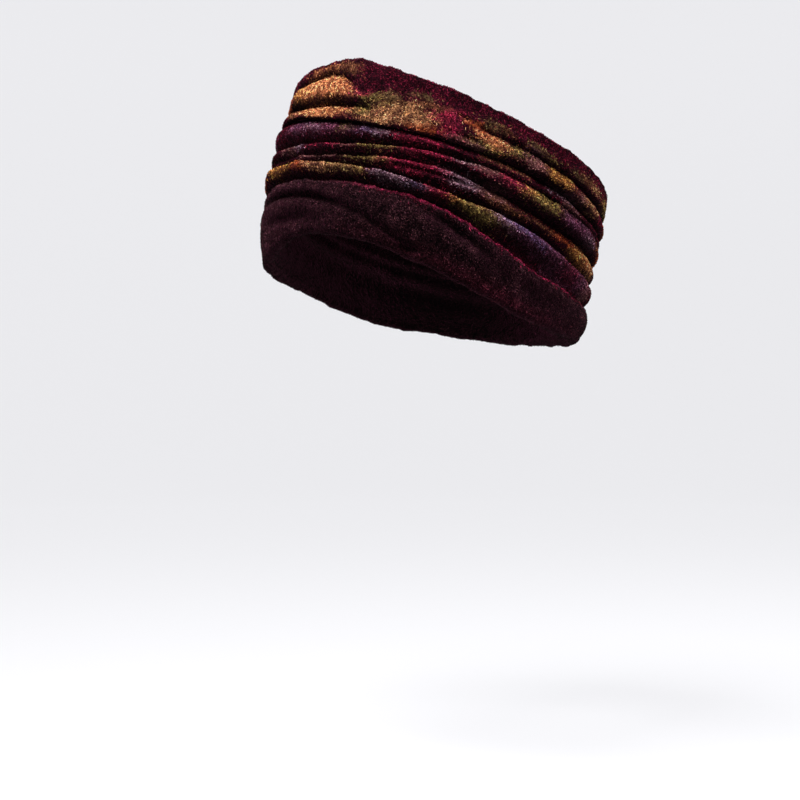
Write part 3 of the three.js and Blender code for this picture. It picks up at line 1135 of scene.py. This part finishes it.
def fibre_paths(dice, fibres):
    """Knots of every fibre, the felt's normal at the middle one, its root on the grid, its part.

    A step of so many mm is turned into grid steps by the mm that a grid step spans there."""
    chance = nap_share.ravel() / nap_share.sum()
    cell = dice.choice(chance.size, fibres, p=chance)
    root_i, root_j = cell // ring.shape[1], cell % ring.shape[1]
    kind = part[root_i, root_j]
    i, j = root_i + dice.random(fibres), root_j + dice.random(fibres)
    root = (i.copy(), j.copy())
    combed, matted = np.isin(kind, (RIM, EDGE)), np.isin(kind, (CUFF, FOOT))
    headings = dice.normal(0, COMBED, fibres), dice.uniform(0, 2 * np.pi, fibres)
    heading = np.where(combed, *headings)
    turning = dice.normal(0, TURNING, fibres) * np.where(matted, MATTED_TURNING, 1)
    length = dice.uniform(*FIBRE_LENGTH, fibres) * np.where(matted, MATTED_LENGTH, LOOSE_LENGTH)
    step = length / (len(RISE) - 1)
    height = dice.uniform(*FIBRE_HEIGHT, fibres)
    knots, lifts = [], []
    for rise in RISE:
        lifts.append(sample(normals, i, j))
        knots.append(sample(ring, i, j) + lifts[-1] * (rise * height)[:, None])
        span_i = np.linalg.norm(sample(along, i, j), axis=-1)
        span_j = np.linalg.norm(sample(down, i, j), axis=-1)
        i = i + np.cos(heading) * step / np.maximum(span_i, LEAST_SPAN)
        j = j + np.sin(heading) * step / np.maximum(span_j, LEAST_SPAN)
        heading = heading + turning + dice.normal(0, WOBBLE, fibres)
    return knots, lifts[1], root, kind


# %% Fibres as spindles
SIDES = 3
SPINDLE_POINTS = SIDES + 2


def spindles(knots, lift, radius):
    """Points and faces: a point at each end, and a triangle round the middle knot between them."""
    root, middle, tip = knots
    side = unit(np.cross(tip - root, lift))
    points = [root]
    for corner in range(SIDES):
        angle = 2 * np.pi * corner / SIDES + np.pi / 2
        points.append(middle + (side * math.cos(angle) + lift * math.sin(angle)) * radius[:, None])
    points.append(tip)
    faces = []
    for corner in range(SIDES):
        here, following = 1 + corner, 1 + (corner + 1) % SIDES
        faces += [(0, here, following), (here, SIDES + 1, following)]
    first_point = np.arange(len(root)) * SPINDLE_POINTS
    faces = np.array(faces)[None] + first_point[:, None, None]
    return np.stack(points, 1).reshape(-1, 3), faces.reshape(-1, 3)


# %% Material of the nap
nap_material, nap_skin, start = new_material("wool_nap")
strand = start.attribute("strand", "Color")
fill(nap_skin, {"Base Color": strand, "Roughness": 0.85, "Specular IOR Level": 0.04})

# %% Grow the nap
FIBRE_RADIUS = (0.12, 0.22)     # in mm, on the cuff
THICKER = 1.35                  # fibres elsewhere are thicker
STRAY_ROUND, STRAY_FOLD = 1.6, 0.08     # a fibre takes its colour so far off, in degrees and folds
LIGHT_FIBRES = 0.45             # share of the fibres that lie on top, and are light
TOP_FIBRES, LOW_FIBRES = (0.7, 1.1), (0.0, 0.2)     # share of the light tone in both kinds
BRIGHTNESS, BRIGHTEST = (0.1, 0.6), 2.4     # mean and spread of its logarithm, and the most it is
TINT_SPREAD = 0.08              # of each of red, green and blue


def grow_nap(name, fibres, seed):
    """One mesh of fibres. Each has the tone of the wool at its root, made lighter or darker at
    random, and dimmed by the painted shade of the felt there.
    """
    dice = np.random.default_rng(seed)
    knots, lift, (i, j), kind = fibre_paths(dice, fibres)
    matted = np.isin(kind, (CUFF, FOOT))
    radius = dice.uniform(*FIBRE_RADIUS, fibres) * np.where(matted, 1, THICKER)
    points, faces = spindles(knots, lift, radius)
    stray = dice.normal(0, 1.0, (fibres, 2))
    turn = azimuths[0] + i * 360 / STATIONS + stray[:, 0] * STRAY_ROUND
    fold = sample(place, i, j)[:, 0] + stray[:, 1] * STRAY_FOLD
    light, dark, _ = wool_at(turn, fold, kind, knots[1])
    brightness = np.minimum(np.exp(dice.normal(*BRIGHTNESS, fibres)), BRIGHTEST)[:, None]
    tint = dice.normal(1, TINT_SPREAD, (fibres, 3))
    on_top = dice.random(fibres) < LIGHT_FIBRES
    lightness = dice.uniform(*TOP_FIBRES, fibres), dice.uniform(*LOW_FIBRES, fibres)
    among = np.where(on_top, *lightness)[:, None]
    colour = (dark + (light - dark) * among) * brightness * tint
    # painted shade: each fibre is dimmed as much as the felt at its root
    colour = np.clip(colour * sample(painted_light, i, j), 0, 1)
    strand = np.repeat(colour, SPINDLE_POINTS, 0)
    made = mesh_object(name, points * MM, faces, nap_material, {"strand": strand})
    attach(made, "root")
    return made


NAP_PIECES = 4
FIBRES = 32400
FIRST_SEED = 40
nap = [grow_nap(f"nap_{number + 1}", FIBRES, FIRST_SEED + number) for number in range(NAP_PIECES)]
print("fibres:", FIBRES * NAP_PIECES, "triangles a piece:", len(nap[0].data.polygons))

# %% [markdown]
# ## A pale floor and soft light
#
# The band is shown as it is worn, so it stays in the air, well over the floor. The floor is a wide
# pale bowl: flat in the middle, it bends up into a low wall all round, so that no view meets a hard
# horizon. A broad lamp from above makes the crests of the folds light and their undersides dark,
# and the pale bowl gives the wool its soft outline.

# %% Floor
# In metres: the floor below the middle of the band, its flat part, its bend and its wall.
FLOOR_DROP, FLOOR_RADIUS, BEND, WALL_TOP = 0.40, 2.0, 0.8, 1.6

floor_material, floor_skin, _ = new_material("pale_floor")
fill(floor_skin, {
    "Base Color": (0.32, 0.32, 0.33, 1), "Roughness": 0.9,
    "Emission Color": (0.98, 0.98, 1.0, 1), "Emission Strength": 0.58,
})


def make_floor():
    """A surface of revolution: a flat disc, a quarter circle of the bend's radius, and a wall."""
    arc = np.linspace(0, np.pi / 2, 17)
    radius = np.concatenate([[0.0], FLOOR_RADIUS + BEND * np.sin(arc), [FLOOR_RADIUS + BEND]])
    height = np.concatenate([[0.0], BEND * (1 - np.cos(arc)), [WALL_TOP]]) - FLOOR_DROP
    spokes = 96
    turn = 2 * np.pi * np.arange(spokes) / spokes
    points = np.stack([
        np.outer(radius, np.cos(turn)), np.outer(radius, np.sin(turn)),
        np.repeat(height[:, None], spokes, 1),
    ], -1).reshape(-1, 3)
    faces = closed_grid(len(radius), spokes)[:-spokes, ::-1]    # open at the top, facing inwards
    return mesh_object("pale_floor", points, faces, floor_material)


make_floor()

world = bpy.data.worlds.new("surround")
bpy.context.scene.world = world
world.use_nodes = True
fill(world.node_tree.nodes["Background"], {"Color": (0.98, 0.98, 1.0, 1), "Strength": 0.5})


# %% Lamps
VIEW_AZIMUTH = 38.0     # the camera stands this far round to the wearer's left


def lamp(name, azimuth, elevation, distance, size, power):
    """A square lamp that looks at the band from an azimuth and elevation round it."""
    turn, lift = math.radians(azimuth), math.radians(elevation)
    away = Vector((
        math.sin(turn) * math.cos(lift), -math.cos(turn) * math.cos(lift), math.sin(lift),
    ))
    data = bpy.data.lights.new(name, "AREA")
    data.size, data.energy = size, power
    made = bpy.data.objects.new(name, data)
    made.location = away * distance
    made.rotation_mode = "QUATERNION"
    made.rotation_quaternion = away.to_track_quat("Z", "Y")
    made.visible_camera = False
    bpy.context.scene.collection.objects.link(made)


lamp("key", azimuth=VIEW_AZIMUTH - 32, elevation=52, distance=1.0, size=0.45, power=15)
lamp("back", azimuth=VIEW_AZIMUTH + 116, elevation=50, distance=1.1, size=0.6, power=7)

# %% [markdown]
# ## The camera
#
# A camera is matched to a photo with few numbers: how far round it stands, how far away, how many
# pixels a millimetre spans, the pixel where the middle of the band falls, and the pixel row of the
# horizon, which gives the tilt.

# %% Camera
FRAME_PIXELS = 800
DISTANCE = 1.6          # in metres
PIXELS_PER_MM = 1.43
BAND_PIXEL = (438.0, 200.0)
HORIZON_ROW = 290.0

focal = PIXELS_PER_MM * DISTANCE / MM
turn = math.radians(VIEW_AZIMUTH)
level_look = Vector((-math.sin(turn), math.cos(turn), 0))
pitch = -math.atan((FRAME_PIXELS / 2 - HORIZON_ROW) / focal)
look = level_look * math.cos(pitch) + Vector((0, 0, math.sin(pitch)))
to_right = Vector((math.cos(turn), math.sin(turn), 0))
to_top = to_right.cross(look)
across, below = ((pixel - FRAME_PIXELS / 2) / focal for pixel in BAND_PIXEL)
to_band = look + to_right * across - to_top * below
camera_data = bpy.data.cameras.new("camera")
camera_data.sensor_width = 36.0
camera_data.lens = focal / FRAME_PIXELS * camera_data.sensor_width
camera = bpy.data.objects.new("camera", camera_data)
camera.location = -to_band * DISTANCE
camera.rotation_mode = "QUATERNION"
camera.rotation_quaternion = look.to_track_quat("-Z", "Y")
bpy.context.scene.collection.objects.link(camera)
bpy.context.scene.camera = camera
bpy.context.scene.view_settings.view_transform = "Standard"
print("lens in mm:", round(camera_data.lens, 1))
